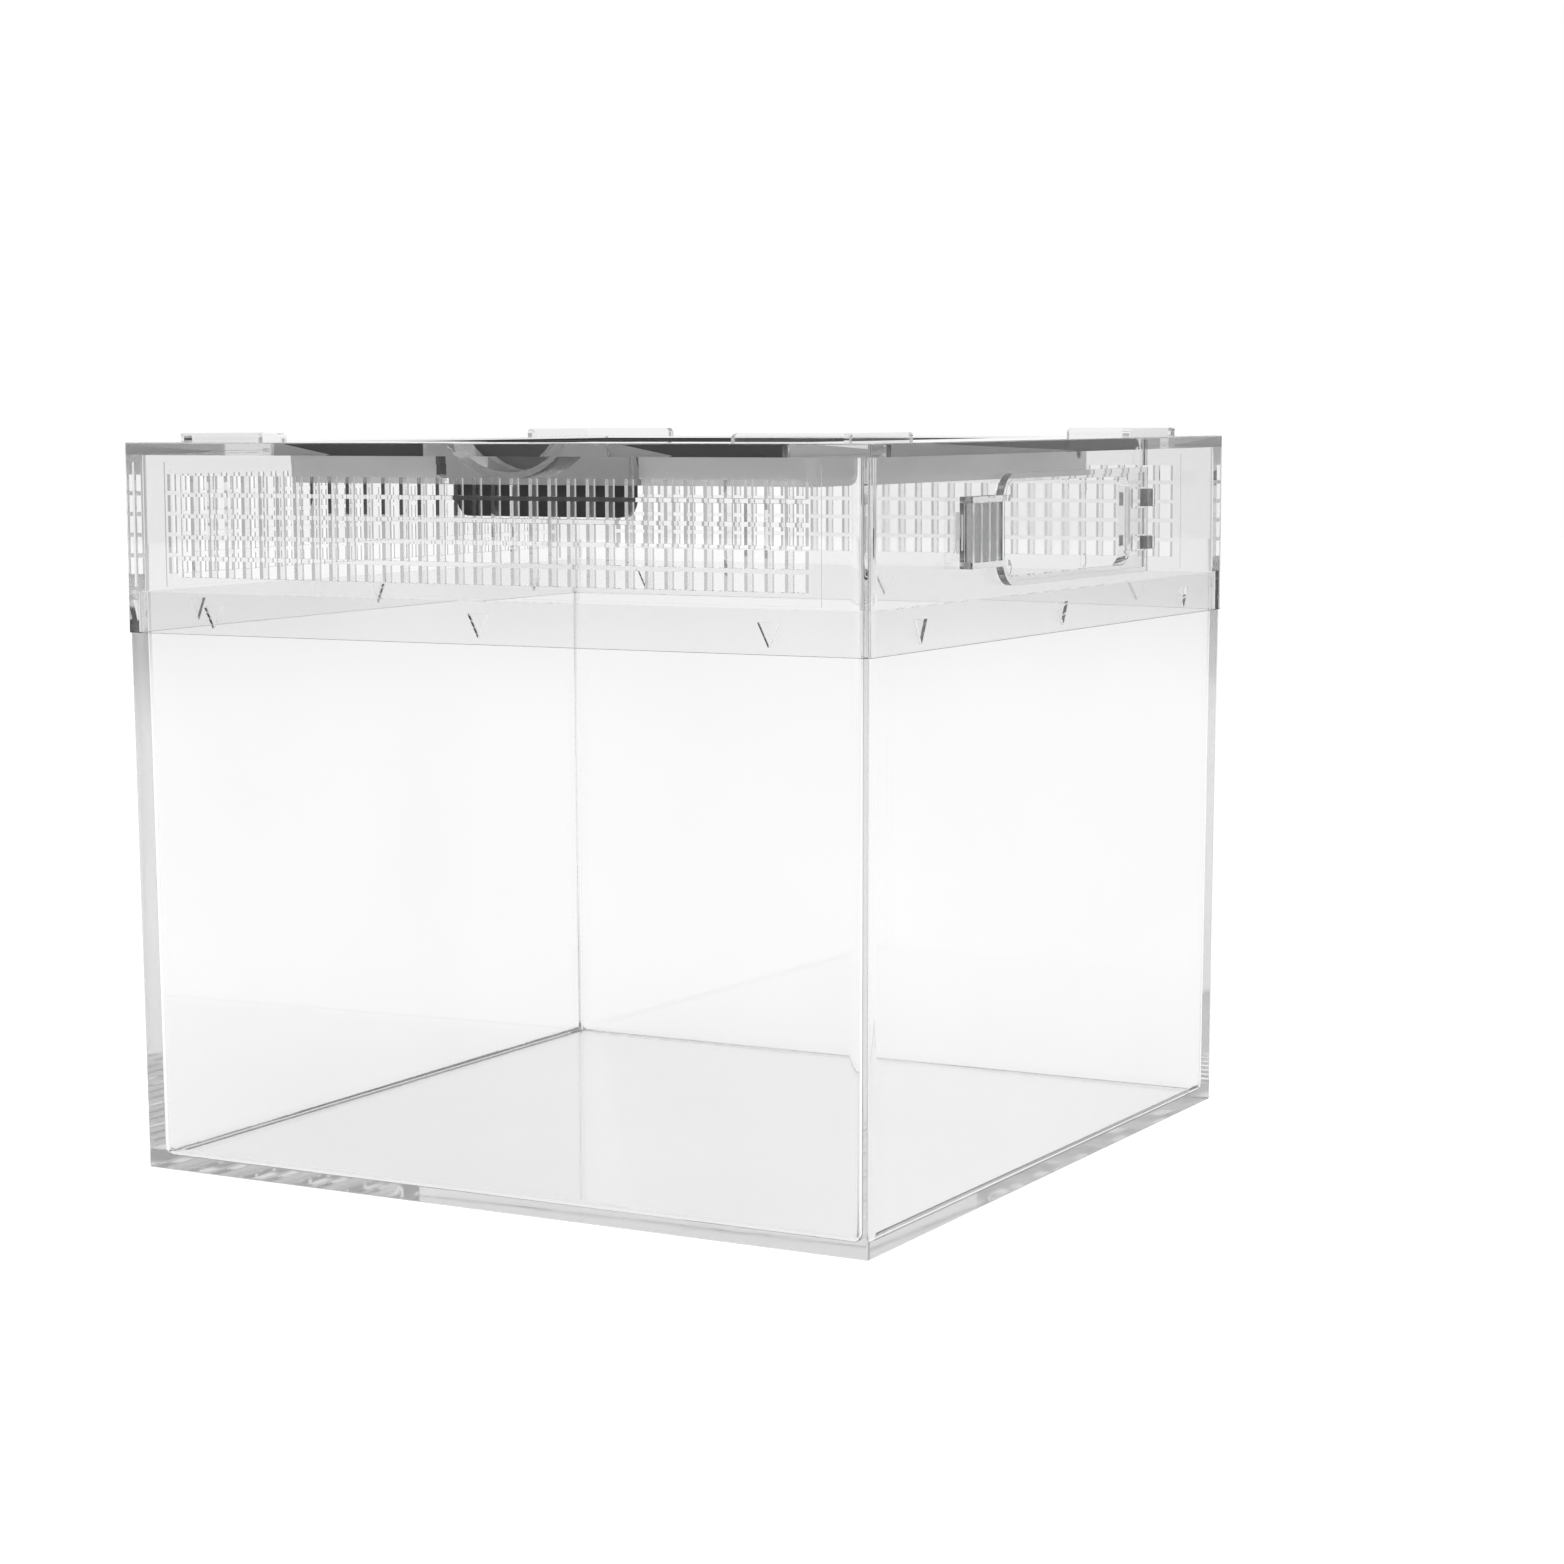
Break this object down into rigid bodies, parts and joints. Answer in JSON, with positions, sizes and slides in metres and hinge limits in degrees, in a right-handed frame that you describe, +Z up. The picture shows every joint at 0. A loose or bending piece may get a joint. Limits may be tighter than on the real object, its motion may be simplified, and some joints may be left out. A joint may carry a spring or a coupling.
{
  "type": "acrylic terrarium",
  "caption": "Clear square terrarium: a moulded tank, a vented lift-off hood with a side feeding door, and a black mesh lid that opens upwards.",
  "frame": {"origin": "centre of the tank's flat underside", "axes": "+Z up, -Y out of the front grille, +X out of the wall with the feeding door"},
  "size_m": [0.2035, 0.2, 0.1779],
  "materials": {
    "clear_acrylic": "clear, polished moulding",
    "black_plastic": "black, semi-gloss moulding",
    "black_mesh": "black, fine mesh"
  },
  "bodies": {
    "tank": {"tank": "clear_acrylic"},
    "hood": {"hood_frame": "clear_acrylic", "front_grille": "clear_acrylic", "back_grille": "clear_acrylic", "left_grille": "clear_acrylic"},
    "lid": {"lid_frame": "black_plastic", "lid_mesh": "black_mesh"},
    "door": {"feeding_door": "clear_acrylic"}
  },
  "joints": [
    {"name": "hood_lift", "type": "slide", "parent": "tank", "child": "hood", "axis": [0, 0, 1], "range_m": [0, 0.06]},
    {"name": "lid_hinge", "type": "hinge", "parent": "hood", "child": "lid", "pos_m": [0, 0.06605, 0.1717], "axis": [-1, 0, 0], "range_deg": [0, 95]},
    {"name": "door_hinge", "type": "hinge", "parent": "hood", "child": "door", "pos_m": [0.1012, 0.045, 0.15565], "axis": [0, 0, 1], "range_deg": [0, 120]}
  ]
}
